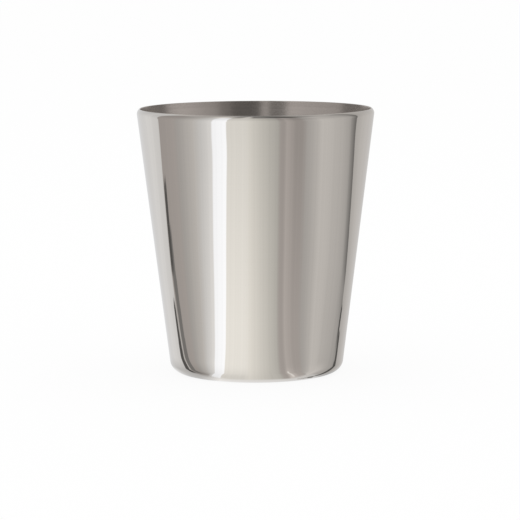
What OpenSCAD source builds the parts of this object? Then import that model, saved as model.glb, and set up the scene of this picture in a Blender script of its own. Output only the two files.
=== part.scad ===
// Double-wall steel tumbler: a tapered, polished outer shell and a satin liner, joined at the lip,
// with a base plate that closes the evacuated space between them.
// Millimetres, +Z up. The origin is on the cup's axis, in the plane that the foot stands on.

/* [Cup] */
// Overall height, from the foot to the top of the lip
cup_h = 100; // [85:1:140]
// Outside diameter of the tapered wall, carried up to the top of the lip
rim_d = 90; // [82:1:110]
// Outside diameter of the tapered wall, carried down to the foot
base_d = 65; // [56:1:76]
// Outside radius of the rounded edge between the wall and the foot
base_corner_r = 4.5; // [3:0.5:8]

/* [Sheet] */
// Thickness of the outer shell's sheet
shell_t = 0.8; // [0.5:0.1:1]
// Thickness of the liner's sheet
liner_t = 0.7; // [0.4:0.1:1]
// Thickness of the base plate's sheet
plate_t = 0.8; // [0.5:0.1:1]
// Radius of the lip's edge, between its outer rounding and the inside wall
lip_edge_r = 0.25; // [0.1:0.05:0.4]
// Angle at which the lip's outer rounding passes into that edge
lip_turn = 51; // [40:1:65]

/* [Liner] */
// Space between shell and liner, level with the liner's floor
side_gap = 4.5; // [2.5:0.5:7]
// Outside radius of the liner's bottom edge
floor_corner_r = 9; // [5:1:14]

/* [Base] */
// Width of the flat ring that the cup stands on
foot_w = 2.5; // [1.5:0.5:5]
// Inside radius of the bend from the foot up into the recess
foot_bend_r = 0.4; // [0.2:0.1:1]
// Height of the weld that joins the base plate to the shell
base_weld_h = 0.6; // [0.3:0.1:1]
// Straight height of the base plate's flange, above the weld
flange_h = 0.4; // [0.2:0.1:2]
// Inside radius of the bend at the base plate's edge
plate_bend_r = 0.4; // [0.2:0.1:1]

/* [Evacuation port] */
// Diameter of the hole that the air is drawn out through
port_d = 1.2; // [0.8:0.1:2]
// Diameter of the solder bead that seals the hole
seal_d = 4; // [3:0.5:6]
// Height of the solder bead below the hole
seal_h = 0.8; // [0.4:0.1:1]
// Clearance between the solder bead and the side of its well
seal_side_clearance = 3; // [1:0.5:4]
// Clearance between the solder bead and the cover disc
seal_cover_clearance = 0.5; // [0.2:0.1:1]
// Width of the seat that carries the cover disc
cover_seat_w = 3.5; // [2:0.5:6]
// Thickness of the cover disc
cover_t = 0.5; // [0.3:0.1:0.8]
// Radial clearance around the cover disc
cover_clearance = 0.15; // [0.05:0.05:0.3]

/* [Getter] */
// Diameter of the gas-absorbing pellet
pellet_d = 6; // [4:0.5:10]
// Thickness of the pellet
pellet_h = 1.4; // [0.8:0.1:1.8]
// Radial clearance between the pellet and its cap
pellet_clearance = 0.1; // [0.05:0.05:0.3]
// Sheet thickness of the pellet's cap
cap_t = 0.3; // [0.2:0.1:0.4]
// Width of the cap's welding brim
cap_brim_w = 1.6; // [1:0.2:3]
// Width of the lip under the pellet, around the opening that bares it
cap_lip_w = 1.5; // [0.5:0.1:1.9]
// Clear height between the cap and the top of the evacuation port
getter_gap = 3.5; // [1:0.5:8]

/* [Heat shield] */
// Thickness of the copper foil around the liner
foil_t = 0.1; // [0.05:0.05:0.2]
// Clearance between the foil and the liner that it is wrapped round
foil_clearance = 0.15; // [0.05:0.05:0.4]
// Height of liner wall left bare above the liner's rounded bottom edge
foil_bottom_margin = 3; // [1:1:8]
// Height of liner wall left bare below the lip weld
foil_top_margin = 18; // [12:1:30]

/* [Hidden] */

// Straight steps in one rounded stretch of an outline
arc_steps = 24;
// Facets of the on-screen view
view_facets = 180;

// Outer wall: its radius grows by wall_k for each millimetre of height
wall_k = (rim_d - base_d) / 2 / cup_h;
wall_taper = atan(wall_k);
wall_skin = shell_t / cos(wall_taper);
function wall_r(z) = base_d / 2 + wall_k * z;

// Lip weld: from the wall's line a large rounding leans in as far as lip_turn, and a small one closes
// over the top to the inside wall, so that both sheets fit under it
lip_rise = sin(lip_turn) + sin(wall_taper);
lip_round_in = cos(wall_taper) - cos(lip_turn) + wall_k * lip_rise;
lip_edge_in = cos(lip_turn) + cos(wall_taper) - wall_k * (sin(lip_turn) - sin(wall_taper));
lip_round_r = (wall_skin + liner_t - lip_edge_r * lip_edge_in) / lip_round_in;
lip_h = lip_round_r * lip_rise + lip_edge_r * (1 - sin(lip_turn));

// Heights from the foot up
weld_z = cup_h - lip_h;
foot_corner_r = foot_bend_r + shell_t;
flange_z = foot_corner_r + base_weld_h;
recess_h = flange_z + flange_h + plate_bend_r;
plate_top_z = recess_h + plate_t;
well_h = seal_h + seal_cover_clearance;
well_top_z = recess_h + cover_t + well_h;
cap_z = well_top_z + plate_t + getter_gap;
pellet_z = cap_z + cap_t;
floor_z = pellet_z + pellet_h;

// Radii of the port's well and cover, from the solder bead outwards
well_r = seal_d / 2 + seal_side_clearance;
cover_r = well_r + cover_seat_w;

// Radii of the foot, from the rounded base edge inwards
base_corner_c = wall_r(base_corner_r) - base_corner_r / cos(wall_taper);
foot_corner_c = base_corner_c - foot_w;
recess_r = foot_corner_c - foot_corner_r;

// Liner wall: it meets the shell's inner skin at the lip weld and draws away from it downwards
liner_top_r = wall_r(weld_z) - wall_skin;
liner_base_r = wall_r(floor_z) - wall_skin - side_gap;
liner_k = (liner_top_r - liner_base_r) / (weld_z - floor_z);
liner_taper = atan(liner_k);
liner_skin = liner_t / cos(liner_taper);
function liner_r(z) = liner_base_r + liner_k * (z - floor_z);
floor_corner_z = floor_z + floor_corner_r;
floor_corner_c = liner_r(floor_corner_z) - floor_corner_r / cos(liner_taper);

// Points along an arc, from angle a0 to angle a1
function arc(centre, r, a0, a1) = [
    for (s = [0:arc_steps])
        let (a = a0 + (a1 - a0) * s / arc_steps)
            centre + r * [cos(a), sin(a)]
];

function reversed(points) = [for (s = [len(points) - 1:-1:0]) points[s]];

function without_first(points) = [for (s = [1:len(points) - 1]) points[s]];

// Closed section of a formed sheet: one skin down, the other skin back
function sheet(skin, far_skin) = concat(skin, reversed(far_skin));

module revolve(section) {
    rotate_extrude($fn = view_facets) polygon(section);
}

// Skin of the outer shell, a given depth in from the outside: wall, base edge, foot, upstand
function shell_skin(depth) = concat(
    [[wall_r(weld_z) - depth / cos(wall_taper), weld_z]],
    arc([base_corner_c, base_corner_r], base_corner_r - depth, -wall_taper, -90),
    arc([foot_corner_c, foot_corner_r], foot_corner_r - depth, -90, -180),
    [[recess_r + depth, plate_top_z]]
);

// Skin of the liner, a given depth in from the side that faces the shell: wall, bottom edge, floor
function liner_skin_line(depth) = concat(
    [[liner_top_r - depth / cos(liner_taper), weld_z]],
    arc([floor_corner_c, floor_corner_z], floor_corner_r - depth, -liner_taper, -90),
    [[0, floor_z + depth]]
);

// Skin of the base plate, a given depth down from its upper side: flange, bend, disc, cover seat, well
function plate_skin(depth) = let (
    bend_r = plate_bend_r + plate_t,
    disc_z = plate_top_z - depth,
    seat_side_r = cover_r + cover_clearance + plate_t - depth,
    well_side_r = well_r + plate_t - depth
) concat(
    [[recess_r - depth, flange_z]],
    arc([recess_r - bend_r, plate_top_z - bend_r], bend_r - depth, 0, 90),
    [
        [seat_side_r, disc_z],
        [seat_side_r, disc_z + cover_t],
        [well_side_r, disc_z + cover_t],
        [well_side_r, disc_z + cover_t + well_h],
        [port_d / 2, disc_z + cover_t + well_h]
    ]
);

// Polished, tapered outer wall with its rounded base edge and foot ring
module outer_shell() {
    color("silver") revolve(sheet(shell_skin(0), shell_skin(shell_t)));
}

// Drawn inner cup that holds the drink
module inner_liner() {
    color("darkgray") revolve(sheet(liner_skin_line(0), liner_skin_line(liner_t)));
}

// Weld that closes the two sheet edges at the lip, ground round
module lip_weld() {
    round_c = [wall_r(weld_z), weld_z] - lip_round_r * [cos(wall_taper), -sin(wall_taper)];
    edge_c = round_c + (lip_round_r - lip_edge_r) * [cos(lip_turn), sin(lip_turn)];
    color("gainsboro") revolve(concat(
        arc(round_c, lip_round_r, -wall_taper, lip_turn),
        without_first(arc(edge_c, lip_edge_r, lip_turn, 180 - wall_taper)),
        [[liner_top_r - liner_skin, weld_z]]
    ));
}

// Pressed disc that closes the bottom of the shell
module base_plate() {
    color("lightgray") revolve(sheet(plate_skin(0), plate_skin(plate_t)));
}

// Weld between the base plate's flange and the shell's upstand
module base_weld() {
    toe = [for (s = [0:arc_steps])
        let (a = 90 * s / arc_steps)
            [recess_r - plate_t * sin(a), flange_z - base_weld_h * cos(a)]];
    color("gainsboro") revolve(concat(toe, [[recess_r, flange_z]]));
}

// Solder that fills the evacuation hole and hangs below it as a bead
module port_seal() {
    bead = [for (s = [0:arc_steps])
        let (a = 90 * s / arc_steps)
            [seal_d / 2 * cos(a), well_top_z - seal_h * sin(a)]];
    plug = [
        [0, well_top_z + plate_t],
        [port_d / 2, well_top_z + plate_t],
        [port_d / 2, well_top_z]
    ];
    color("slategray") revolve(concat(plug, bead));
}

// Disc that covers the sealed port, flush with the base plate
module port_cover() {
    color("silver") translate([0, 0, recess_h])
        cylinder(r = cover_r, h = cover_t, $fn = view_facets);
}

// Gas-absorbing pellet against the underside of the liner's floor
module getter_pellet() {
    color("dimgray") translate([0, 0, pellet_z])
        cylinder(d = pellet_d, h = pellet_h, $fn = view_facets);
}

// Cap that holds the pellet, spot-welded to the liner's floor by its brim
module getter_cap() {
    bore_r = pellet_d / 2 + pellet_clearance;
    wall_out_r = bore_r + cap_t;
    brim_r = wall_out_r + cap_brim_w;
    vent_r = pellet_d / 2 - cap_lip_w;
    color("darkgray") revolve([
        [brim_r, floor_z],
        [bore_r, floor_z],
        [bore_r, pellet_z],
        [vent_r, pellet_z],
        [vent_r, cap_z],
        [wall_out_r, cap_z],
        [wall_out_r, floor_z - cap_t],
        [brim_r, floor_z - cap_t]
    ]);
}

// Copper foil wrapped round the liner, which turns radiated heat back
module heat_shield_foil() {
    low_z = floor_corner_z + foil_bottom_margin;
    high_z = weld_z - foil_top_margin;
    near_skin = foil_clearance / cos(liner_taper);
    far_skin = near_skin + foil_t / cos(liner_taper);
    color("peru") revolve([
        [liner_r(low_z) + near_skin, low_z],
        [liner_r(low_z) + far_skin, low_z],
        [liner_r(high_z) + far_skin, high_z],
        [liner_r(high_z) + near_skin, high_z]
    ]);
}

outer_shell();
inner_liner();
lip_weld();
base_plate();
base_weld();
port_seal();
port_cover();
getter_pellet();
getter_cap();
heat_shield_foil();
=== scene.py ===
# %% [markdown]
# # A polished double-wall tumbler
# The cup is two drawn steel cups, one inside the other. They are welded together at the lip, and a pressed
# plate closes the bottom. Every piece is round, so each one is a flat section turned around the cup's axis.
# This lesson draws those sections, turns them with one Geometry Nodes tree, and then spends most of its
# effort on what makes polished steel look like steel: its finish, and what there is for it to reflect.

# %% Load the frame
import math

import bmesh
import bpy
from mathutils import Matrix, Vector


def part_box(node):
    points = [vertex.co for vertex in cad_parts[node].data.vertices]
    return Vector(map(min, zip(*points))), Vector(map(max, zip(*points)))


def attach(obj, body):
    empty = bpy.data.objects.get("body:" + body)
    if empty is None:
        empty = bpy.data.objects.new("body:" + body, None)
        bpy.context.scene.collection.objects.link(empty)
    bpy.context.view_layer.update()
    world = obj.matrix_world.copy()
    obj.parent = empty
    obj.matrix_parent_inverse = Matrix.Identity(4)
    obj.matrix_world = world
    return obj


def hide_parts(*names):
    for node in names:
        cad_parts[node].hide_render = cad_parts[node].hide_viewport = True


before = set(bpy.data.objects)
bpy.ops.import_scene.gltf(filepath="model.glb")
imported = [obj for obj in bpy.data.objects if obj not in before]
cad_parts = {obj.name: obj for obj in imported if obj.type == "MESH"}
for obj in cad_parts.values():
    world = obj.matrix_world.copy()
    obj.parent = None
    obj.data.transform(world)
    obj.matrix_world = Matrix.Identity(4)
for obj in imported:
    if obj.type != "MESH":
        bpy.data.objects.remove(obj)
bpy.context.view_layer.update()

# %% [markdown]
# ## Sizes
# The frame already holds every piece at its real size. A turned piece needs only a few numbers of it: the
# heights and the outside radii come from the boxes of the solids. What a box can't tell, such as a bend's
# radius or a sheet's thickness, is named here once. All lengths are in metres.

# %% Read the heights and radii
MM = 0.001
lip_top_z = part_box("lip_weld")[1].z
weld_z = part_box("outer_shell")[1].z
wall_weld_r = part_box("outer_shell")[1].x
liner_top_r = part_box("inner_liner")[1].x
floor_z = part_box("inner_liner")[0].z
recess_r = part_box("base_plate")[1].x
flange_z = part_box("base_plate")[0].z
weld_toe_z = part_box("base_weld")[0].z
cover_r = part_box("port_cover")[1].x
cover_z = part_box("port_cover")[0].z
cover_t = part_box("port_cover")[1].z - cover_z

# Sheet thicknesses
SHELL_T = 0.8 * MM
LINER_T = 0.7 * MM
PLATE_T = 0.8 * MM
# Slope and bends of the shell
BASE_D = 65 * MM
BASE_CORNER_R = 4.5 * MM
FOOT_W = 2.5 * MM
# Bends and gap of the liner and the plate
FLOOR_CORNER_R = 9 * MM
SIDE_GAP = 4.5 * MM
PLATE_BEND_R = 0.4 * MM
COVER_CLEARANCE = 0.15 * MM

wall_k = (wall_weld_r - BASE_D / 2) / weld_z
wall_taper = math.atan(wall_k)
liner_base_r = BASE_D / 2 + wall_k * floor_z - SHELL_T / math.cos(wall_taper) - SIDE_GAP
liner_k = (liner_top_r - liner_base_r) / (weld_z - floor_z)
liner_taper = math.atan(liner_k)
print("wall taper %.2f, liner taper %.2f degrees" % (math.degrees(wall_taper), math.degrees(liner_taper)))

# %% [markdown]
# ## Drawing a section
# A section is a list of points (radius, height). Straight stretches are split into short steps and bends
# are arcs with many points, because a mirror shows every facet: the light that a polished wall throws back
# turns twice as fast as the wall itself does.

# %% Lines and arcs
WALL_STEPS = 44
BEND_STEPS = 40
HIDDEN_STEPS = 8
SAME_PLACE = 0.001 * MM


def straight(start, end, steps):
    """Points from start to end, both included."""
    return [
        (start[0] + (end[0] - start[0]) * s / steps, start[1] + (end[1] - start[1]) * s / steps)
        for s in range(steps + 1)
    ]


def bend(centre, radius, first, last, steps):
    """Points along an arc, between two angles in degrees."""
    points = []
    for s in range(steps + 1):
        angle = math.radians(first + (last - first) * s / steps)
        points.append((centre[0] + radius * math.cos(angle), centre[1] + radius * math.sin(angle)))
    return points


def without_repeats(points):
    """The same points, with none that lies on the one before it."""
    kept = [points[0]]
    for point in points[1:]:
        if math.dist(point, kept[-1]) > SAME_PLACE:
            kept.append(point)
    return kept


print("steps:", WALL_STEPS, "along a wall,", BEND_STEPS, "along a bend")

# %% [markdown]
# ## Turning a section
# Blender has a Spin tool and a Screw modifier for this. A Geometry Nodes tree is clearer to read and to
# change: it lays out a grid with one column for each point of the section and one row for each step around
# the axis, moves every grid point to its section point turned by the row's angle, and merges the seam and
# the poles. The same tree makes all the visible pieces.

# %% The turning tree
AROUND = 288
SHARP_DEGREES = 35
MERGE_DISTANCE = 0.0002 * MM


def turning_tree():
    """Node tree that turns a section of points around Z; returns the tree and its inputs' identifiers."""
    tree = bpy.data.node_groups.new("turn_section", "GeometryNodeTree")
    sockets = {}
    for name, kind in (
        ("Section", "NodeSocketGeometry"),
        ("Steps around", "NodeSocketInt"),
        ("Closed", "NodeSocketInt"),
        ("Sharp angle", "NodeSocketFloat"),
        ("Finish", "NodeSocketMaterial"),
    ):
        sockets[name] = tree.interface.new_socket(name, in_out="INPUT", socket_type=kind).identifier
    tree.interface.new_socket("Piece", in_out="OUTPUT", socket_type="NodeSocketGeometry")

    def add(kind, **settings):
        node = tree.nodes.new(kind)
        for key, value in settings.items():
            setattr(node, key, value)
        return node

    def whole(operation, a, b):
        """Whole-number arithmetic on two sockets or numbers."""
        node = add("FunctionNodeIntegerMath", operation=operation)
        for slot, value in zip(node.inputs, (a, b)):
            if isinstance(value, int):
                slot.default_value = value
            else:
                tree.links.new(value, slot)
        return node.outputs[0]

    given = add("NodeGroupInput").outputs
    count = add("GeometryNodeAttributeDomainSize", component="MESH")
    tree.links.new(given["Section"], count.inputs["Geometry"])
    points = count.outputs["Point Count"]
    columns = whole("ADD", points, given["Closed"])
    rows = whole("ADD", given["Steps around"], 1)

    grid = add("GeometryNodeMeshGrid")
    tree.links.new(columns, grid.inputs["Vertices X"])
    tree.links.new(rows, grid.inputs["Vertices Y"])
    index = add("GeometryNodeInputIndex").outputs[0]
    column = whole("MODULO", whole("DIVIDE_FLOOR", index, rows), points)
    row = whole("MODULO", index, rows)

    sample = add("GeometryNodeSampleIndex", data_type="FLOAT_VECTOR", domain="POINT")
    tree.links.new(given["Section"], sample.inputs["Geometry"])
    tree.links.new(add("GeometryNodeInputPosition").outputs[0], sample.inputs["Value"])
    tree.links.new(column, sample.inputs["Index"])
    share = add("ShaderNodeMath", operation="DIVIDE")
    tree.links.new(row, share.inputs[0])
    tree.links.new(given["Steps around"], share.inputs[1])
    angle = add("ShaderNodeMath", operation="MULTIPLY")
    tree.links.new(share.outputs[0], angle.inputs[0])
    angle.inputs[1].default_value = math.tau
    turned = add("ShaderNodeVectorRotate", rotation_type="Z_AXIS")
    tree.links.new(sample.outputs[0], turned.inputs["Vector"])
    tree.links.new(angle.outputs[0], turned.inputs["Angle"])

    placed = add("GeometryNodeSetPosition")
    tree.links.new(grid.outputs["Mesh"], placed.inputs["Geometry"])
    tree.links.new(turned.outputs[0], placed.inputs["Position"])
    merged = add("GeometryNodeMergeByDistance")
    merged.inputs["Distance"].default_value = MERGE_DISTANCE
    tree.links.new(placed.outputs[0], merged.inputs["Geometry"])

    smooth = add("GeometryNodeSetShadeSmooth", domain="FACE")
    tree.links.new(merged.outputs[0], smooth.inputs["Geometry"])
    corner = add("FunctionNodeCompare", data_type="FLOAT", operation="GREATER_THAN")
    tree.links.new(add("GeometryNodeInputMeshEdgeAngle").outputs["Unsigned Angle"], corner.inputs["A"])
    tree.links.new(given["Sharp angle"], corner.inputs["B"])
    crisp = add("GeometryNodeSetShadeSmooth", domain="EDGE")
    crisp.inputs["Shade Smooth"].default_value = False
    tree.links.new(smooth.outputs[0], crisp.inputs["Geometry"])
    tree.links.new(corner.outputs[0], crisp.inputs["Selection"])

    real = add("GeometryNodeRealizeInstances")
    tree.links.new(crisp.outputs[0], real.inputs[0])
    dressed = add("GeometryNodeSetMaterial")
    tree.links.new(real.outputs[0], dressed.inputs["Geometry"])
    tree.links.new(given["Finish"], dressed.inputs["Material"])
    tree.links.new(dressed.outputs[0], add("NodeGroupOutput").inputs[0])
    return tree, sockets


TURN, TURN_INPUT = turning_tree()
print("turning tree:", len(TURN.nodes), "nodes")


# %% [markdown]
# The helper below hands a section to the tree and keeps the result as a plain mesh. A section that starts
# and ends on the axis stays open there, so that no sliver lies on the axis. Last, the faces are made to
# point outwards.

# %% Turn one piece
def add_object(name, data):
    """A new object in the scene, at the origin."""
    made = bpy.data.objects.new(name, data)
    bpy.context.scene.collection.objects.link(made)
    return made


def turned_piece(name, node, section, material, closed=True):
    """A turned mesh that stands for one solid of the frame."""
    points = without_repeats(section)
    outline = bpy.data.meshes.new(name + "_section")
    outline.from_pydata([(r, 0, z) for r, z in points], [], [])
    maker = add_object(name + "_section", outline)
    turn = maker.modifiers.new("turn", "NODES")
    turn.node_group = TURN
    turn[TURN_INPUT["Steps around"]] = AROUND
    turn[TURN_INPUT["Closed"]] = 1 if closed else 0
    turn[TURN_INPUT["Sharp angle"]] = math.radians(SHARP_DEGREES)
    turn[TURN_INPUT["Finish"]] = material
    evaluated = maker.evaluated_get(bpy.context.evaluated_depsgraph_get())
    mesh = bpy.data.meshes.new_from_object(evaluated)
    bpy.data.objects.remove(maker)

    shape = bmesh.new()
    shape.from_mesh(mesh)
    bmesh.ops.recalc_face_normals(shape, faces=shape.faces)
    open_edges = sum(1 for edge in shape.edges if not edge.is_manifold)
    shape.to_mesh(mesh)
    shape.free()

    mesh.name = name
    piece = add_object(name, mesh)
    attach(piece, "root")
    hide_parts(node)
    mesh.calc_loop_triangles()
    print(name, len(mesh.loop_triangles), "triangles,", open_edges, "open edges")
    return piece


# %% [markdown]
# ## Steel finishes
# Steel from a lathe or a polishing wheel carries very fine lines around its axis. They are what sets a
# steel cup apart from a chromed one: the lines smear a reflection along the axis and leave it sharp across.
# One node group gives every finish its lines. Height plus distance from the axis grows steadily along the
# whole section of such a piece, over the wall, the bend and the floor, so noise that is stretched along
# that number draws rings on all of them, with no seam.

# %% The ring lines
def ring_line_group():
    """Node group: noise in fine rings around Z, and a slow, broad unevenness."""
    group = bpy.data.node_groups.new("ring_lines", "ShaderNodeTree")
    for name in ("Lines per metre", "Drift per metre", "Swells per metre"):
        group.interface.new_socket(name, in_out="INPUT", socket_type="NodeSocketFloat")
    for name in ("Lines", "Swell"):
        group.interface.new_socket(name, in_out="OUTPUT", socket_type="NodeSocketFloat")
    nodes, links = group.nodes, group.links
    given = nodes.new("NodeGroupInput").outputs
    place = nodes.new("ShaderNodeTexCoord").outputs["Object"]
    flat = nodes.new("ShaderNodeVectorMath")
    flat.operation = "MULTIPLY"
    flat.inputs[1].default_value = (1, 1, 0)
    links.new(place, flat.inputs[0])
    radius = nodes.new("ShaderNodeVectorMath")
    radius.operation = "LENGTH"
    links.new(flat.outputs[0], radius.inputs[0])
    parts = nodes.new("ShaderNodeSeparateXYZ")
    links.new(place, parts.inputs[0])
    along = nodes.new("ShaderNodeMath")
    along.operation = "ADD"
    links.new(radius.outputs["Value"], along.inputs[0])
    links.new(parts.outputs["Z"], along.inputs[1])

    stretched = nodes.new("ShaderNodeCombineXYZ")
    for axis, source, scale in (
        ("X", parts.outputs["X"], "Drift per metre"),
        ("Y", parts.outputs["Y"], "Drift per metre"),
        ("Z", along.outputs[0], "Lines per metre"),
    ):
        times = nodes.new("ShaderNodeMath")
        times.operation = "MULTIPLY"
        links.new(source, times.inputs[0])
        links.new(given[scale], times.inputs[1])
        links.new(times.outputs[0], stretched.inputs[axis])
    lines = nodes.new("ShaderNodeTexNoise")
    lines.inputs["Scale"].default_value = 1
    lines.inputs["Detail"].default_value = 3
    links.new(stretched.outputs[0], lines.inputs["Vector"])
    swell = nodes.new("ShaderNodeTexNoise")
    swell.inputs["Detail"].default_value = 1
    links.new(place, swell.inputs["Vector"])
    links.new(given["Swells per metre"], swell.inputs["Scale"])
    out = nodes.new("NodeGroupOutput").inputs
    links.new(lines.outputs["Fac"], out["Lines"])
    links.new(swell.outputs["Fac"], out["Swell"])
    return group


RING_LINES = ring_line_group()
print("ring lines:", len(RING_LINES.nodes), "nodes")


# %% [markdown]
# A finish is the colour of bare steel, a range of roughness that the lines move through, how strongly the
# lines smear the light along the axis, and the depth of the lines and swells as bump.

# %% Make a steel finish
QUARTER_TURN = 0.25
RING_DRIFT = 12
# Nearly all of a noise lies between these values
NOISE_LOW, NOISE_HIGH = 0.3, 0.7


def new_material(name):
    """A material with nodes; returns it with its nodes and links."""
    material = bpy.data.materials.new(name)
    material.use_nodes = True
    return material, material.node_tree.nodes, material.node_tree.links


def steel(name, colour, shade, rough, smear, lines_per_m, line_depth, swells_per_m=30, swell_depth=0.0):
    """A turned or polished steel: shade is the tone in the lines, rough its lowest and highest roughness."""
    material, nodes, links = new_material(name)
    shader = nodes["Principled BSDF"]
    shader.inputs["Metallic"].default_value = 1
    shader.inputs["Anisotropic"].default_value = smear
    shader.inputs["Anisotropic Rotation"].default_value = QUARTER_TURN
    tangent = nodes.new("ShaderNodeTangent")
    tangent.direction_type = "RADIAL"
    tangent.axis = "Z"
    links.new(tangent.outputs[0], shader.inputs["Tangent"])

    rings = nodes.new("ShaderNodeGroup")
    rings.node_tree = RING_LINES
    rings.inputs["Lines per metre"].default_value = lines_per_m
    rings.inputs["Drift per metre"].default_value = RING_DRIFT
    rings.inputs["Swells per metre"].default_value = swells_per_m

    tone = nodes.new("ShaderNodeMix")
    tone.data_type = "RGBA"
    darker = [c * shade for c in colour]
    tone.inputs["A"].default_value = (*darker, 1)
    tone.inputs["B"].default_value = (*colour, 1)
    links.new(rings.outputs["Lines"], tone.inputs["Factor"])
    links.new(tone.outputs["Result"], shader.inputs["Base Color"])
    spread = nodes.new("ShaderNodeMapRange")
    spread.inputs["From Min"].default_value = NOISE_LOW
    spread.inputs["From Max"].default_value = NOISE_HIGH
    spread.inputs["To Min"].default_value = rough[0]
    spread.inputs["To Max"].default_value = rough[1]
    links.new(rings.outputs["Lines"], spread.inputs["Value"])
    links.new(spread.outputs[0], shader.inputs["Roughness"])

    swell = nodes.new("ShaderNodeBump")
    swell.inputs["Distance"].default_value = swell_depth
    links.new(rings.outputs["Swell"], swell.inputs["Height"])
    fine = nodes.new("ShaderNodeBump")
    fine.inputs["Distance"].default_value = line_depth
    links.new(rings.outputs["Lines"], fine.inputs["Height"])
    links.new(swell.outputs[0], fine.inputs["Normal"])
    links.new(fine.outputs[0], shader.inputs["Normal"])
    return material


print("roughness follows the lines' noise from", NOISE_LOW, "to", NOISE_HIGH)

# %% [markdown]
# The outside is polished to a mirror: its lines have no depth left, and the wheel leaves slow, shallow
# swells. The inside is satin, with fine lines. The underside is spun and its weld is ground, so both are
# rougher.

# %% The four finishes
BARE_STEEL = (0.67, 0.64, 0.60)
mirror_steel = steel(
    "mirror_steel", BARE_STEEL, shade=0.98, rough=(0.025, 0.04), smear=0.3, lines_per_m=2500, line_depth=0,
    swells_per_m=25, swell_depth=0.03 * MM,
)
satin_steel = steel(
    "satin_steel", (0.62, 0.59, 0.555), shade=0.94, rough=(0.19, 0.26), smear=0.8, lines_per_m=4000,
    line_depth=0.0006 * MM,
)
spun_steel = steel(
    "spun_steel", (0.60, 0.58, 0.55), shade=0.92, rough=(0.2, 0.32), smear=0.6, lines_per_m=3000,
    line_depth=0.002 * MM,
)
ground_weld = steel(
    "ground_weld", (0.55, 0.52, 0.48), shade=0.9, rough=(0.3, 0.45), smear=0.2, lines_per_m=1500,
    line_depth=0.004 * MM,
)
print("steel finishes:", [m.name for m in (mirror_steel, satin_steel, spun_steel, ground_weld)])

# %% [markdown]
# ## The outer shell
# The shell is one drawn sheet: the tapered wall, a rounded base edge, a flat foot ring that the cup stands
# on, and a short upstand that the base plate is welded to. The skin that shows gets many points, the hidden
# skin inside the wall only a few.

# %% Outer shell
foot_corner_r = weld_toe_z
foot_corner_c = recess_r + foot_corner_r
base_corner_c = foot_corner_c + FOOT_W
upstand_z = cover_z + PLATE_T
UPSTAND_STEPS = 2


def wall_r(z):
    """Radius of the outer wall at a height."""
    return BASE_D / 2 + wall_k * z


def shell_skin(depth, wall_steps, bend_steps):
    """Points of the shell's skin, a depth in from the outside, from the lip weld to the upstand's top."""
    taper = math.degrees(wall_taper)
    edge = bend((base_corner_c, BASE_CORNER_R), BASE_CORNER_R - depth, -taper, -90, bend_steps)
    top = (wall_r(weld_z) - depth / math.cos(wall_taper), weld_z)
    foot = bend((foot_corner_c, foot_corner_r), foot_corner_r - depth, -90, -180, bend_steps // 2)
    upstand = straight(foot[-1], (recess_r + depth, upstand_z), UPSTAND_STEPS)
    return straight(top, edge[0], wall_steps) + edge + foot + upstand


shell_section = shell_skin(0, WALL_STEPS, BEND_STEPS)
shell_section += shell_skin(SHELL_T, HIDDEN_STEPS, HIDDEN_STEPS)[::-1]
outer_shell = turned_piece("polished_shell", "outer_shell", shell_section, mirror_steel)

# %% [markdown]
# ## The liner
# The liner is a second drawn cup. It meets the shell at the lip and leans in a little more than the shell,
# so that the sealed space between them widens downwards. Its section runs from the axis along the
# underside, up the hidden side, and back down the side that holds the drink.

# %% Inner liner
def liner_skin(depth, wall_steps, bend_steps):
    """Points of the liner's skin, a depth in from the shell's side, from the lip to the axis."""
    taper = math.degrees(liner_taper)
    corner_z = floor_z + FLOOR_CORNER_R
    corner_c = liner_base_r + liner_k * FLOOR_CORNER_R - FLOOR_CORNER_R / math.cos(liner_taper)
    edge = bend((corner_c, corner_z), FLOOR_CORNER_R - depth, -taper, -90, bend_steps)
    top = (liner_top_r - depth / math.cos(liner_taper), weld_z)
    floor_line = straight(edge[-1], (0, floor_z + depth), HIDDEN_STEPS)
    return straight(top, edge[0], wall_steps) + edge + floor_line


liner_section = liner_skin(0, HIDDEN_STEPS, HIDDEN_STEPS)[::-1]
liner_section += liner_skin(LINER_T, WALL_STEPS, BEND_STEPS)
inner_liner = turned_piece("satin_liner", "inner_liner", liner_section, satin_steel, closed=False)

# %% [markdown]
# ## The lip
# Where the two sheets meet, their edges are melted together and the weld is polished round. From the wall a
# large rounding leans in, and a small one closes over the top, so the reflections of the wall run on over
# the lip and bend inwards there. The side of the lip that faces the drink stays satin, like the liner below
# it.

# %% Lip weld
LIP_EDGE_R = 0.25 * MM
LIP_TURN = 51
CROWN_STEPS = 36
# Faces that look at the axis more squarely than this are satin
SATIN_FACING = -0.9
lip_turn = math.radians(LIP_TURN)
lip_h = lip_top_z - weld_z
lip_inside_r = liner_top_r - LINER_T / math.cos(liner_taper)
lip_round_r = (lip_h - LIP_EDGE_R * (1 - math.sin(lip_turn))) / (math.sin(lip_turn) + math.sin(wall_taper))
round_c = (wall_weld_r - lip_round_r * math.cos(wall_taper), weld_z + lip_round_r * math.sin(wall_taper))
edge_c = (
    round_c[0] + (lip_round_r - LIP_EDGE_R) * math.cos(lip_turn),
    round_c[1] + (lip_round_r - LIP_EDGE_R) * math.sin(lip_turn),
)
wall_lean = math.degrees(wall_taper)
lip_edge = bend(edge_c, LIP_EDGE_R, LIP_TURN, 180 - wall_lean, CROWN_STEPS)
lip_section = bend(round_c, lip_round_r, -wall_lean, LIP_TURN, CROWN_STEPS) + lip_edge
lip_section += straight(lip_edge[-1], (lip_inside_r, weld_z), HIDDEN_STEPS)
lip = turned_piece("rounded_lip", "lip_weld", lip_section, mirror_steel)
lip.data.materials.append(satin_steel)
for face in lip.data.polygons:
    outward = (face.normal.x * face.center.x + face.normal.y * face.center.y) / face.center.xy.length
    if outward < SATIN_FACING:
        face.material_index = len(lip.data.materials) - 1

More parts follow.
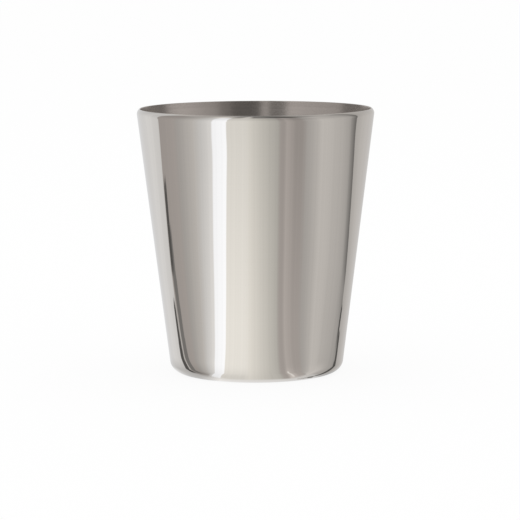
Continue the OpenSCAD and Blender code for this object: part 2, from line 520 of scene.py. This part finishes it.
# %% [markdown]
# ## The underside
# A pressed plate sits inside the foot ring with its flange turned down, and a weld joins the flange to the
# shell. The plate carries a shallow seat, and a thin disc in that seat covers the sealed hole that the air
# was drawn out through.

# %% Base plate
LEVEL_TOLERANCE = 0.01 * MM
plate_points = [(math.hypot(*v.co.xy), v.co.z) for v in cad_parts["base_plate"].data.vertices]
well_top_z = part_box("port_seal")[1].z - PLATE_T
port_r = min(plate_points)[0]
well_r = max(r for r, z in plate_points if abs(z - well_top_z) < LEVEL_TOLERANCE)


def plate_skin(depth):
    """Points of the plate's skin, a depth down from its upper side, from the flange to the hole."""
    bend_r = PLATE_BEND_R + PLATE_T
    top_z = cover_z + PLATE_T
    flange = [(recess_r - depth, flange_z)]
    edge = bend((recess_r - bend_r, top_z - bend_r), bend_r - depth, 0, 90, BEND_STEPS // 2)
    seat_r = cover_r + COVER_CLEARANCE + PLATE_T - depth
    side_r = well_r + PLATE_T - depth
    low_z = top_z - depth
    high_z = low_z + well_top_z - cover_z
    seat_z = low_z + cover_t
    steps = [(seat_r, low_z), (seat_r, seat_z), (side_r, seat_z), (side_r, high_z), (port_r, high_z)]
    return flange + edge + steps


plate_section = plate_skin(0) + plate_skin(PLATE_T)[::-1]
base_plate = turned_piece("base_plate_spun", "base_plate", plate_section, spun_steel)

# %% [markdown]
# The weld between the flange and the shell is a small bead that is ground smooth. Its section is a quarter
# of an ellipse, which a short loop draws.

# %% Base weld
WELD_STEPS = BEND_STEPS // 2
weld_section = [(recess_r, flange_z)]
for s in range(WELD_STEPS + 1):
    angle = math.radians(90 * s / WELD_STEPS)
    weld_section.append(
        (recess_r - PLATE_T * math.sin(angle), flange_z - (flange_z - weld_toe_z) * math.cos(angle))
    )
base_weld = turned_piece("base_weld_bead", "base_weld", weld_section, ground_weld)

# %% [markdown]
# The port cover is a punched disc. A sharp edge catches no light, so its lower edge is rounded a little, as
# a deburred one is.

# %% Port cover
COVER_EDGE_R = 0.12 * MM
cover_edge = bend((cover_r - COVER_EDGE_R, cover_z + COVER_EDGE_R), COVER_EDGE_R, -90, 0, HIDDEN_STEPS)
cover_section = straight((0, cover_z), cover_edge[0], HIDDEN_STEPS) + cover_edge
cover_section += straight((cover_r, cover_z + cover_t), (0, cover_z + cover_t), HIDDEN_STEPS)
port_cover = turned_piece("port_cover_disc", "port_cover", cover_section, spun_steel, closed=False)

# %% [markdown]
# ## Hidden pieces
# The pieces in the sealed space keep their solids from the frame and get their own finishes: creased copper
# foil, grey sintered powder for the getter, plain pressed steel for its cap and dull solder in the port.

# %% Finishes of the hidden pieces
GRAIN_SHADE = 0.75


def grained(name, colour, metallic, rough, grain_per_m, depth):
    """A finish with an even grain: mottled colour, roughness that follows it, and bump."""
    material, nodes, links = new_material(name)
    shader = nodes["Principled BSDF"]
    shader.inputs["Metallic"].default_value = metallic
    place = nodes.new("ShaderNodeTexCoord")
    grain = nodes.new("ShaderNodeTexNoise")
    grain.inputs["Scale"].default_value = grain_per_m
    grain.inputs["Detail"].default_value = 4
    links.new(place.outputs["Object"], grain.inputs["Vector"])
    mottle = nodes.new("ShaderNodeValToRGB")
    darker = [c * GRAIN_SHADE for c in colour]
    mottle.color_ramp.elements[0].position = NOISE_LOW
    mottle.color_ramp.elements[0].color = (*darker, 1)
    mottle.color_ramp.elements[1].position = NOISE_HIGH
    mottle.color_ramp.elements[1].color = (*colour, 1)
    links.new(grain.outputs["Fac"], mottle.inputs["Fac"])
    links.new(mottle.outputs["Color"], shader.inputs["Base Color"])
    spread = nodes.new("ShaderNodeMapRange")
    spread.inputs["To Min"].default_value = rough[0]
    spread.inputs["To Max"].default_value = rough[1]
    links.new(grain.outputs["Fac"], spread.inputs["Value"])
    links.new(spread.outputs[0], shader.inputs["Roughness"])
    bump = nodes.new("ShaderNodeBump")
    bump.inputs["Distance"].default_value = depth
    links.new(grain.outputs["Fac"], bump.inputs["Height"])
    links.new(bump.outputs[0], shader.inputs["Normal"])
    return material


# Each finish: name, colour, share of metal, lowest and highest roughness, grains per metre and their depth
HIDDEN_FINISHES = {
    "heat_shield_foil": ("creased_copper", (0.80, 0.42, 0.27), 1, (0.15, 0.35), 150, 0.2 * MM),
    "getter_pellet": ("sintered_getter", (0.10, 0.10, 0.11), 0.6, (0.7, 0.95), 4000, 0.05 * MM),
    "getter_cap": ("pressed_steel", (0.52, 0.50, 0.48), 1, (0.25, 0.45), 900, 0.01 * MM),
    "port_seal": ("dull_solder", (0.48, 0.48, 0.47), 1, (0.35, 0.6), 700, 0.03 * MM),
}
for node_name, finish in HIDDEN_FINISHES.items():
    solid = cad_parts[node_name]
    solid.data.materials.clear()
    solid.data.materials.append(grained(*finish))
print("hidden pieces:", sorted(HIDDEN_FINISHES))

# %% [markdown]
# ## The floor and the background
# The cup stands on a plain white floor that runs back to a white horizon. Light Path makes the floor and
# the world white to the camera and to reflections, while a part of the floor's own shading stays, so that
# the cup still has its shadow.

# %% Floor
FLOOR_SIZE = 30
FLOOR_DROP = 0.05 * MM
FLOOR_GREY = 0.95
FLOOR_WHITE = 0.90


def seen_as_background(nodes, links):
    """1 for rays of the camera, of reflections and of transmission, and 0 for the rest."""
    path = nodes.new("ShaderNodeLightPath").outputs
    total = path["Is Camera Ray"]
    for other in ("Is Glossy Ray", "Is Transmission Ray"):
        either = nodes.new("ShaderNodeMath")
        either.operation = "MAXIMUM"
        links.new(total, either.inputs[0])
        links.new(path[other], either.inputs[1])
        total = either.outputs[0]
    return total


def floor_finish():
    """Pale matt floor that reads as white where it is seen as background."""
    material, nodes, links = new_material("white_floor")
    nodes.clear()
    matt = nodes.new("ShaderNodeBsdfDiffuse")
    matt.inputs["Color"].default_value = (FLOOR_GREY, FLOOR_GREY, FLOOR_GREY, 1)
    white = nodes.new("ShaderNodeEmission")
    share = nodes.new("ShaderNodeMath")
    share.operation = "MULTIPLY"
    share.inputs[1].default_value = FLOOR_WHITE
    links.new(seen_as_background(nodes, links), share.inputs[0])
    mix = nodes.new("ShaderNodeMixShader")
    links.new(share.outputs[0], mix.inputs["Fac"])
    links.new(matt.outputs[0], mix.inputs[1])
    links.new(white.outputs[0], mix.inputs[2])
    links.new(mix.outputs[0], nodes.new("ShaderNodeOutputMaterial").inputs["Surface"])
    return material


def white_floor():
    """A flat square under the cup."""
    half = FLOOR_SIZE / 2
    corners = [(x * half, y * half, -FLOOR_DROP) for x, y in ((-1, -1), (1, -1), (1, 1), (-1, 1))]
    mesh = bpy.data.meshes.new("floor")
    mesh.from_pydata(corners, [], [range(len(corners))])
    mesh.materials.append(floor_finish())
    sheet = add_object("floor", mesh)
    return sheet


floor = white_floor()
print("floor:", [round(side, 1) for side in floor.dimensions.xy], "m")

# %% [markdown]
# The world is the white horizon, and it also lights the scene from all sides. To the camera and to
# reflections its strength is 1, which is white, and as a light it is a little weaker.

# %% World
WORLD_LIGHT = 0.95
world = bpy.data.worlds.new("white_room")
bpy.context.scene.world = world
world.use_nodes = True
room = world.node_tree
sky = room.nodes["Background"]
sky.inputs["Color"].default_value = (1, 1, 1, 1)
level = room.nodes.new("ShaderNodeMapRange")
level.inputs["To Min"].default_value = WORLD_LIGHT
level.inputs["To Max"].default_value = 1
room.links.new(seen_as_background(room.nodes, room.links), level.inputs["Value"])
room.links.new(level.outputs[0], sky.inputs["Strength"])
print("world:", world.name, "lights at", WORLD_LIGHT)

# %% [markdown]
# ## Painted reflections for the steel
# Polished steel has hardly any colour of its own: it shows what stands around it. The upright bands that
# make it read as metal are painted here on a large bowl that glows, though it is no lamp. Its tones are
# painted reflections: a pale lit table with the cup's own shadows painted on it, a painted caustic highlight
# that the wall throws onto the table, and the room above. Its flat bottom lies on the floor, because the
# cup's wall leans outwards and looks down at the table, and its sides rise to a dome. Only reflections see
# it, so the floor stays white to the camera. A shader could compute the tones, but a list of cards and a
# function that says how they lie are easier to change, so each point of the bowl gets its tone as a colour
# attribute. The directions and tones of the cards were fitted to the reflections in the photograph.

# %% Cards on the table
# Each card: name, first and last direction in degrees (0 is the camera's side, positive to the right), the
# tone at each of them, how much of the tone is left close to the cup's foot and far away from it, and a
# tint. Between two cards the tone runs from one to the next.
TINTS = {
    "cool": (0.96, 1.00, 1.07),
    "clear": (0.99, 1.00, 1.02),
    "plain": (1.02, 1.00, 0.99),
    "warm": (1.005, 0.998, 0.962),
    "pale": (1.00, 0.998, 0.975),
    "rosy": (1.06, 1.00, 0.98),
}
# The cards are painted tones of a lit table: the dark cards to the right and left of the front are the cup's
# painted shadows on it, and the brightest card is a painted caustic highlight thrown by the wall.
PAINTED_TABLE_CARDS = (
    ("back left", -180, -150, 0.78, 0.85, 0.90, 1.00, "clear"),
    ("left edge", -140, -132, 0.92, 0.92, 0.72, 1.00, "clear"),
    ("left rim", -128, -118.2, 0.89, 0.85, 0.70, 0.99, "clear"),
    ("left painted shadow", -117.2, -95, 0.44, 0.48, 0.80, 1.00, "rosy"),
    ("left fade", -88, -70, 0.505, 0.67, 0.80, 1.00, "plain"),
    ("left glow", -61, -49.4, 0.86, 1.08, 0.80, 0.92, "clear"),
    ("painted caustic highlight", -48.6, -34.7, 1.42, 1.53, 0.86, 0.97, "cool"),
    ("front fill", -33.8, -12, 1.18, 1.16, 0.80, 0.84, "pale"),
    ("front fade", -6, 14, 1.05, 0.76, 0.94, 0.86, "warm"),
    ("right dusk", 18, 22, 0.70, 0.635, 1.00, 0.88, "warm"),
    ("right painted shadow edge", 24.6, 27.6, 0.50, 0.475, 1.03, 0.92, "rosy"),
    ("right line", 30.5, 33, 0.58, 0.56, 1.30, 0.90, "rosy"),
    ("right painted shadow", 40, 47, 0.49, 0.485, 1.10, 0.84, "rosy"),
    ("right fade", 54, 66, 0.525, 0.63, 1.08, 1.00, "plain"),
    ("right ridge", 73, 86, 0.715, 0.695, 1.10, 1.00, "plain"),
    ("right side", 92, 108, 0.64, 0.59, 1.33, 1.03, "plain"),
    ("right end", 115, 120, 0.56, 0.50, 1.05, 0.98, "plain"),
    ("right rim", 133, 142, 0.57, 0.63, 0.90, 1.02, "plain"),
    ("back right", 152, 180, 0.67, 0.66, 1.00, 1.00, "plain"),
)
print("cards on the table:", len(PAINTED_TABLE_CARDS))

# %% [markdown]
# Narrow strips lie on top of the cards: painted shadows of the cup, the dark lines along their painted
# edges, and one painted bright highlight near the foot. They turn a little on their way out, so each has a
# pair of directions near the cup and another further out.

# %% Strips on the table
# Each strip: name, directions near the cup and further out, the tone at both edges, and the distances from
# the axis where the strip begins, where it has its full strength and where it ends
# Painted shadows of the cup on the table with their dark edges, and one painted bright highlight
TABLE_STRIPS = (
    ("left shadow", (-114.3, -108.4), (-117.0, -110.5), 0.24, 0.24, 0.034, 0.036, 0.26),
    ("left gap", (-116.4, -114.3), (-121.4, -117.0), 0.60, 0.60, 0.037, 0.041, 0.135),
    ("left dark line", (-122.7, -116.4), (-121.9, -119.5), 0.12, 0.12, 0.0338, 0.0352, 0.138),
    ("left dark end", (-116.9, -112.0), (-116.9, -112.6), 0.12, 0.12, 0.17, 0.18, 0.35),
    ("right shade", (122.5, 130.0), (121.5, 130.3), 0.50, 0.40, 0.033, 0.035, 0.15),
    ("right shadow", (121.0, 130.8), (120.4, 130.3), 0.44, 0.18, 0.09, 0.19, 3.00),
    ("right dark line", (129.8, 134.2), (130.0, 133.8), 0.12, 0.12, 0.0311, 0.0314, 0.088),
    ("right far line", (126.2, 129.8), (129.2, 132.6), 0.12, 0.12, 0.055, 0.085, 0.13),
    ("right foot line", (126.2, 130.4), (129.2, 130.4), 0.12, 0.12, 0.0311, 0.0314, 0.046),
    ("right toe", (120.0, 133.5), (120.0, 133.5), 0.44, 0.13, 0.0307, 0.0309, 0.0319),
    ("painted bright highlight", (31.6, 34.2), (29.8, 31.4), 0.98, 0.98, 0.0325, 0.034, 0.0430),
)
print("strips on the table:", len(TABLE_STRIPS))

# %% [markdown]
# Three more sets of painted tones complete the surroundings: the painted shade and light on the table right
# under the rounded base edge, the painted room above the cards, which is a dark front with painted light
# patches and walls on both sides of it, and the collar over the mouth, for the satin inside. Each set has
# one tint, and its tones are the same near and far.

# %% Cards under the base edge, above and over the mouth
# Each card: name, first and last direction, and the tone at each of them
# Painted shade and light of the table right under the base edge
PAINTED_FOOT_CARDS = (
    ("foot left", -180, -78, 0.95, 0.93),
    ("foot left shade", -56, -43, 0.71, 0.70),
    ("foot left light", -34, -27, 0.90, 1.18),
    ("foot front", -18, 20, 1.10, 0.97),
    ("foot right light", 24, 44, 0.93, 0.88),
    ("foot right shade", 52, 62, 0.62, 0.54),
    ("foot right", 80, 180, 0.62, 0.66),
)
# The painted room above the table, with painted light patches
PAINTED_UPPER_CARDS = (
    ("back left", -180, -132, 0.72, 0.80),
    ("left window", -110, -70, 0.56, 0.50),
    ("left light", -62, -56, 0.58, 0.66),
    ("white top", -50, -40, 0.92, 0.92),
    ("front left", -32, -20, 0.33, 0.38),
    ("front spot", -14, -9, 0.74, 0.74),
    ("front", -3, 12, 0.27, 0.26),
    ("front right", 24, 50, 0.16, 0.11),
    ("right window", 68, 82, 0.36, 0.46),
    ("right wall", 92, 130, 0.56, 0.58),
    ("back right", 142, 180, 0.48, 0.50),
)
ZENITH_TONE = 0.27
# Painted reflections for the satin inside
PAINTED_MOUTH_CARDS = (
    ("back left", -180, -156, 0.20, 0.22),
    ("left", -143, -53, 0.47, 0.59),
    ("left shade", -44, -23, 0.20, 0.20),
    ("spot", -17, -12, 0.56, 0.46),
    ("front", -5, 34, 0.125, 0.125),
    ("front right", 40, 53, 0.21, 0.24),
    ("right", 62, 118, 0.38, 0.61),
    ("right wall", 126, 146, 0.62, 0.57),
    ("back right", 162, 180, 0.22, 0.20),
)
print("other cards:", [len(cards) for cards in (PAINTED_FOOT_CARDS, PAINTED_UPPER_CARDS, PAINTED_MOUTH_CARDS)])


# %% [markdown]
# The tone in a direction comes from the two stops next to it. A card has a stop at each of its ends, so the
# same helper blends along a card and from one card to the next.

# %% Read the cards
def even_cards(cards, tint):
    """The same cards with one tint, alike near and far."""
    return [(*card, 1, 1, tint) for card in cards]


def card_stops(cards):
    """Direction, colour, near share and far share at both ends of each card, in order."""
    stops = []
    for _, start, end, start_tone, end_tone, near, far, tint in cards:
        for direction, tone in ((start, start_tone), (end, end_tone)):
            stops.append((direction, Vector((*(c * tone for c in TINTS[tint]), near)), far))
    return stops


def tone_at(stops, direction, nearness=0, farness=0):
    """Colour between the two stops next to a direction."""
    for (a, first, first_far), (b, last, last_far) in zip(stops, stops[1:]):
        if direction <= b:
            break
    share = min(max((direction - a) / (b - a), 0), 1)
    *colour, near = first.lerp(last, share)
    far = first_far + (last_far - first_far) * share
    return Vector(colour) * (1 + (near - 1) * nearness) * (1 + (far - 1) * farness)


def run(low, high, value):
    """0 below low, 1 above high, and an even run between them."""
    return min(max((value - low) / (high - low), 0), 1)


def smooth_run(low, high, value):
    """Like run, with soft ends."""
    share = run(low, high, value)
    return share * share * (3 - 2 * share)


TABLE_STOPS = card_stops(PAINTED_TABLE_CARDS)
FOOT_STOPS = card_stops(even_cards(PAINTED_FOOT_CARDS, "clear"))
UPPER_STOPS = card_stops(even_cards(PAINTED_UPPER_CARDS, "plain"))
MOUTH_STOPS = card_stops(even_cards(PAINTED_MOUTH_CARDS, "rosy"))
print("stops:", [len(stops) for stops in (TABLE_STOPS, FOOT_STOPS, UPPER_STOPS, MOUTH_STOPS)])

# %% [markdown]
# In front of the cup the cards' edges run straight away from its axis. Towards the sides they are the
# painted edges of the cup's shadows, so they leave the foot along tangents of a circle, and far away they
# bend a little. On the left they also drift sideways and, further out, come back a little. A course says
# for each direction how much of the turn its edge makes.

# %% Where the cards lie
SHADOW_R = 31.5 * MM
# The most that an edge turns at the foot, in degrees, which grows with its share of the turn
LEAST_TURN, MOST_TURN, TURN_POWER = 49, 90, 1.5
# Directions away from the camera's side, and the share of the turn in each
LEFT_COURSE = ((0, 0), (22, 0.09), (34, 0.148), (48, 0.258), (74, 0.55), (108, 1), (150, 1), (180, 0))
RIGHT_COURSE = ((0, 0), (22, 0.09), (32, 0.105), (46, 0.2), (74, 0.55), (108, 1), (150, 1), (180, 0))
# Each turn in degrees, and the distances between which it comes or goes
FAR_BEND, FAR_BEND_SKEW, FAR_BEND_SPAN = 11.25, 2.75, (0.18, 0.47)
LEFT_NEAR_TURN, LEFT_NEAR_SPAN = 3.3, (41 * MM, 51 * MM)
LEFT_DRIFT, LEFT_DRIFT_SPAN = 8.6, (0.09, 0.35)
LEFT_RETURN, LEFT_RETURN_SPAN = 1.7, (0.302, 0.338)
# Degrees to the left of the camera's side over which the drift comes in
LEFT_DRIFT_SIDE = (0, 30)


def course(direction):
    """Share of the turn that an edge in this direction makes."""
    stops = LEFT_COURSE if direction < 0 else RIGHT_COURSE
    for (a, first), (b, last) in zip(stops, stops[1:]):
        if abs(direction) <= b:
            break
    return first + (last - first) * (abs(direction) - a) / (b - a)


def azimuth_of(direction, distance):
    """Where the edge of a card lies at a distance from the axis, in degrees around it."""
    side = math.copysign(1, direction)
    share = course(direction)
    most = LEAST_TURN + (MOST_TURN - LEAST_TURN) * share ** TURN_POWER
    turn = min(math.degrees(math.asin(min(SHADOW_R / distance, 1))), most)
    turn += (FAR_BEND + FAR_BEND_SKEW * side) * run(*FAR_BEND_SPAN, distance)
    turn += LEFT_NEAR_TURN * max(-side, 0) * (1 - run(*LEFT_NEAR_SPAN, distance))
    drift = LEFT_DRIFT * run(*LEFT_DRIFT_SPAN, distance) - LEFT_RETURN * run(*LEFT_RETURN_SPAN, distance)
    drift *= (1 - share) * run(*LEFT_DRIFT_SIDE, -direction)
    return direction - side * share * turn + drift


print("edges leave the foot along tangents of a circle of", SHADOW_R, "m")

# %% [markdown]
# The colour at a place starts from the painted card there. A faint streakiness breaks up the broad painted
# tones. Close to the foot, where the cup shades the table, the foot's painted shade and light take over,
# and the strips of painted shadow and highlight lie on top of all. Beyond the table the colours run on up
# the dome to the upper cards and the zenith.

# %% Colours of the cards
# Distances over which a card's near tone fades out, and over which its far tone comes in
NEAR_SPAN, FAR_SPAN = (34 * MM, 48 * MM), (0.09, 0.33)
# Each streak: how fast it waves along the directions, and how strongly
STREAKS = ((0.71, 0.006), (1.19, 0.006), (2.03, 0.008))
# The foot's tones are full up to one distance and gone at another, which is larger in some directions
FOOT_FULL_R, FOOT_REACH = 31.5 * MM, 32.5 * MM
LEFT_REACH, LEFT_REACH_SPAN = 2.5 * MM, (20, 36)
RIGHT_REACH, RIGHT_REACH_START, RIGHT_REACH_END = 2 * MM, (26, 34), (43, 50)
CONTACT_SHADE, CONTACT_SPAN = 0.4, (28.8 * MM, 30.2 * MM)
# Where a strip has its outer directions, unless it ends before, and the share of its length that fades out
STRIP_BEND_R = 0.3
STRIP_FADE = 0.12
# Elevations on the dome, in degrees
DOME_SHADE, DOME_SHADE_SPAN = 0.14, (0, 25)
UPPER_SPAN, ZENITH_SPAN = (45, 54), (70, 84)


def foot_reach(azimuth):
    """Distance from the axis at which the foot's tones are gone."""
    right = run(*RIGHT_REACH_START, azimuth) * (1 - run(*RIGHT_REACH_END, azimuth))
    return FOOT_REACH + LEFT_REACH * run(*LEFT_REACH_SPAN, -azimuth) + RIGHT_REACH * right


def with_strips(colour, direction, distance):
    """The colour after the strips of painted shadow and highlight have been laid over it."""
    for _, inner, outer, start_tone, end_tone, begins, full, ends in TABLE_STRIPS:
        outward = run(begins, min(ends, STRIP_BEND_R), distance)
        start = inner[0] + (outer[0] - inner[0]) * outward
        end = inner[1] + (outer[1] - inner[1]) * outward
        if start <= direction <= end and distance < ends:
            tone = start_tone + (end_tone - start_tone) * (direction - start) / (end - start)
            fades = ends - STRIP_FADE * (ends - full)
            strength = run(begins, full, distance) * (1 - run(fades, ends, distance))
            colour = colour.lerp(Vector(TINTS["plain"]) * tone, strength)
    return colour


def table_tone(direction, azimuth, distance):
    """Painted colour of the table, with the cup's painted shadows on it, at a place."""
    colour = tone_at(TABLE_STOPS, direction, 1 - run(*NEAR_SPAN, distance), run(*FAR_SPAN, distance))
    colour = colour * (1 + sum(depth * math.sin(rate * direction + rate) for rate, depth in STREAKS))
    foot = tone_at(FOOT_STOPS, azimuth) * (1 - CONTACT_SHADE * (1 - run(*CONTACT_SPAN, distance)))
    colour = colour.lerp(foot, 1 - run(FOOT_FULL_R, foot_reach(azimuth), distance))
    return with_strips(colour, direction, distance)


def bowl_tone(direction, azimuth, distance, elevation):
    """Painted reflection colour of the bowl at a place on its bottom (elevation 0) or on its dome."""
    colour = table_tone(direction, azimuth, distance)
    colour = colour * (1 - DOME_SHADE * run(*DOME_SHADE_SPAN, elevation))
    colour = colour.lerp(tone_at(UPPER_STOPS, azimuth), smooth_run(*UPPER_SPAN, elevation))
    return colour.lerp(Vector((1, 1, 1)) * ZENITH_TONE, smooth_run(*ZENITH_SPAN, elevation))


print("zenith:", [round(c, 2) for c in bowl_tone(0, 0, 1, 90)])


# %% [markdown]
# The bowl is a sheet of painted tones, and so is the collar over the mouth. A sheet glows on its inner side
# with the tones that its points carry, though it is no lamp, and its other side lets all light through.

# %% Make a sheet of cards
def painted_glow_finish(name):
    """Glows with the painted tone of each point, though it is no lamp, and lets light through from behind.
    """
    material, nodes, links = new_material(name)
    nodes.clear()
    tone = nodes.new("ShaderNodeAttribute")
    tone.attribute_name = "tone"
    glow = nodes.new("ShaderNodeEmission")
    links.new(tone.outputs["Color"], glow.inputs["Color"])
    mix = nodes.new("ShaderNodeMixShader")
    links.new(nodes.new("ShaderNodeNewGeometry").outputs["Backfacing"], mix.inputs["Fac"])
    links.new(glow.outputs[0], mix.inputs[1])
    links.new(nodes.new("ShaderNodeBsdfTransparent").outputs[0], mix.inputs[2])
    links.new(mix.outputs[0], nodes.new("ShaderNodeOutputMaterial").inputs["Surface"])
    return material


def ring_point(radius, azimuth, height):
    """A point around the axis, where azimuth 0 is the camera's side."""
    turn = math.radians(azimuth)
    return (radius * math.sin(turn), -radius * math.cos(turn), height)


def painted_glow_sheet(name, points, tones, columns):
    """A round, glowing sheet of painted tones from rings of points, facing in, seen by reflections only."""
    faces = []
    for low in range(0, len(points) - columns, columns):
        for s in range(columns):
            after = (s + 1) % columns
            faces.append((low + s, low + columns + s, low + columns + after, low + after))
    mesh = bpy.data.meshes.new(name)
    mesh.from_pydata(points, [], faces)
    mesh.attributes.new("tone", "FLOAT_COLOR", "POINT").data.foreach_set("color", tones)
    mesh.materials.append(painted_glow_finish(name))
    sheet = add_object(name, mesh)
    sheet.visible_camera = False
    sheet.visible_diffuse = False
    sheet.visible_transmission = False
    sheet.visible_volume_scatter = False
    sheet.visible_shadow = False
    return sheet


print("azimuth 90 lies towards", [round(c, 3) for c in ring_point(1, 90, 0)])

# %% [markdown]
# The bowl is a grid of rings and columns. The columns follow the edges of the cards, so that no edge looks
# stepped, and the rings stand closer together near the cup, where a small step on the table is a large step
# in the reflection.

# %% Build the bowl
BOWL_R = 2.5
BOWL_LIFT = 0.1 * MM
BOWL_INNER_R = base_corner_c + 0.5 * MM
BOWL_NEAR_R = 44 * MM
BOWL_COLUMNS = 900
NEAR_RINGS, TABLE_RINGS, DOME_RINGS = 50, 64, 45


def bowl_rings():
    """Radius, height, distance on the table and elevation of each ring of the bowl."""
    rings = []
    for s in range(NEAR_RINGS):
        distance = BOWL_INNER_R + (BOWL_NEAR_R - BOWL_INNER_R) * s / NEAR_RINGS
        rings.append((distance, BOWL_LIFT, distance, 0))
    for s in range(TABLE_RINGS + 1):
        distance = BOWL_NEAR_R * (BOWL_R / BOWL_NEAR_R) ** (s / TABLE_RINGS)
        rings.append((distance, BOWL_LIFT, distance, 0))
    for s in range(1, DOME_RINGS + 1):
        elevation = 90 * s / DOME_RINGS
        rise = math.radians(elevation)
        rings.append((BOWL_R * math.cos(rise), BOWL_LIFT + BOWL_R * math.sin(rise), BOWL_R, elevation))
    return rings


def painted_reflection_bowl():
    """The glowing bowl of the painted table and room, seen by reflections only."""
    points, tones = [], []
    for radius, height, distance, elevation in bowl_rings():
        for s in range(BOWL_COLUMNS):
            direction = 360 * s / BOWL_COLUMNS - 180
            azimuth = azimuth_of(direction, distance)
            points.append(ring_point(radius, azimuth, height))
            tones.extend((*bowl_tone(direction, azimuth, distance, elevation), 1))
    return painted_glow_sheet("painted_reflection_bowl", points, tones, BOWL_COLUMNS)


bowl = painted_reflection_bowl()
print("card bowl:", len(bowl.data.vertices), "points")

# %% [markdown]
# The inside of the cup sees the room only through its mouth. A collar that glows with painted tones stands
# on the lip, out of the picture, and its tones are the painted reflections in the satin inside. It shows its
# tones to the inside of the cup alone, because its back lets all reflections through.

# %% Build the collar
COLLAR_R = lip_inside_r + 0.3 * MM
COLLAR_LOW_Z = lip_top_z + 0.05 * MM
COLLAR_HIGH_Z = lip_top_z + 62 * MM
COLLAR_COLUMNS = 360


def painted_reflection_collar():
    """The glowing ring of painted tones that the inside of the cup reflects."""
    points, tones = [], []
    for height in (COLLAR_LOW_Z, COLLAR_HIGH_Z):
        for s in range(COLLAR_COLUMNS):
            azimuth = 360 * s / COLLAR_COLUMNS - 180
            points.append(ring_point(COLLAR_R, azimuth, height))
            tones.extend((*tone_at(MOUTH_STOPS, azimuth), 1))
    return painted_glow_sheet("painted_reflection_collar", points, tones, COLLAR_COLUMNS)


collar = painted_reflection_collar()
print("card collar:", len(collar.data.vertices), "points")

# %% [markdown]
# ## Lamps
# A large soft box overhead and the white world light the floor evenly and leave a soft shadow under the
# cup. The steel doesn't show the box, only the painted tones of the glowing bowl and collar.

# %% Soft box
BOX_PLACE = (0, 0.1, 1.4)
BOX_SIZE = 1.2
BOX_POWER = 2


def soft_box(name, place, size, power):
    """A square area lamp that looks at the middle of the cup."""
    lamp = bpy.data.lights.new(name, "AREA")
    lamp.size = size
    lamp.energy = power
    box = add_object(name, lamp)
    box.location = place
    aim = Vector((0, 0, lip_top_z / 2)) - Vector(place)
    box.rotation_euler = aim.to_track_quat("-Z", "Y").to_euler()
    box.visible_glossy = False
    return box


overhead_box = soft_box("overhead_box", BOX_PLACE, BOX_SIZE, BOX_POWER)
print("soft box:", overhead_box.name, "of", BOX_POWER, "W")

# %% [markdown]
# ## The camera
# The camera stands about a metre away, a little above the lip, and looks down by seven degrees through a
# long lens. It leans a quarter of a degree, as the photograph does.

# %% Camera
CAMERA_PLACE = (1.456 * MM, -953.45 * MM, 162.24 * MM)
CAMERA_DOWN = 7.175
CAMERA_LEAN = -0.244
CAMERA_LENS = 175.06
SENSOR_W = 36
NEAREST, FURTHEST = 0.01, 100

lens = bpy.data.cameras.new("camera")
lens.sensor_width = SENSOR_W
lens.lens = CAMERA_LENS
lens.clip_start = NEAREST
lens.clip_end = FURTHEST
camera = add_object("camera", lens)
tilt = Matrix.Rotation(math.radians(90 - CAMERA_DOWN), 4, "X")
lean = Matrix.Rotation(math.radians(CAMERA_LEAN), 4, "Z")
camera.matrix_world = Matrix.Translation(CAMERA_PLACE) @ tilt @ lean
bpy.context.scene.camera = camera
bpy.context.scene.view_settings.view_transform = "Standard"
print("camera at", CAMERA_PLACE, "lens", CAMERA_LENS)

# %% [markdown]
# ## Finish
# The dressed cup has to fill the same box as the solids of the frame. The script ends by bringing the
# view layer up to date.

# %% Finish
bpy.context.view_layer.update()
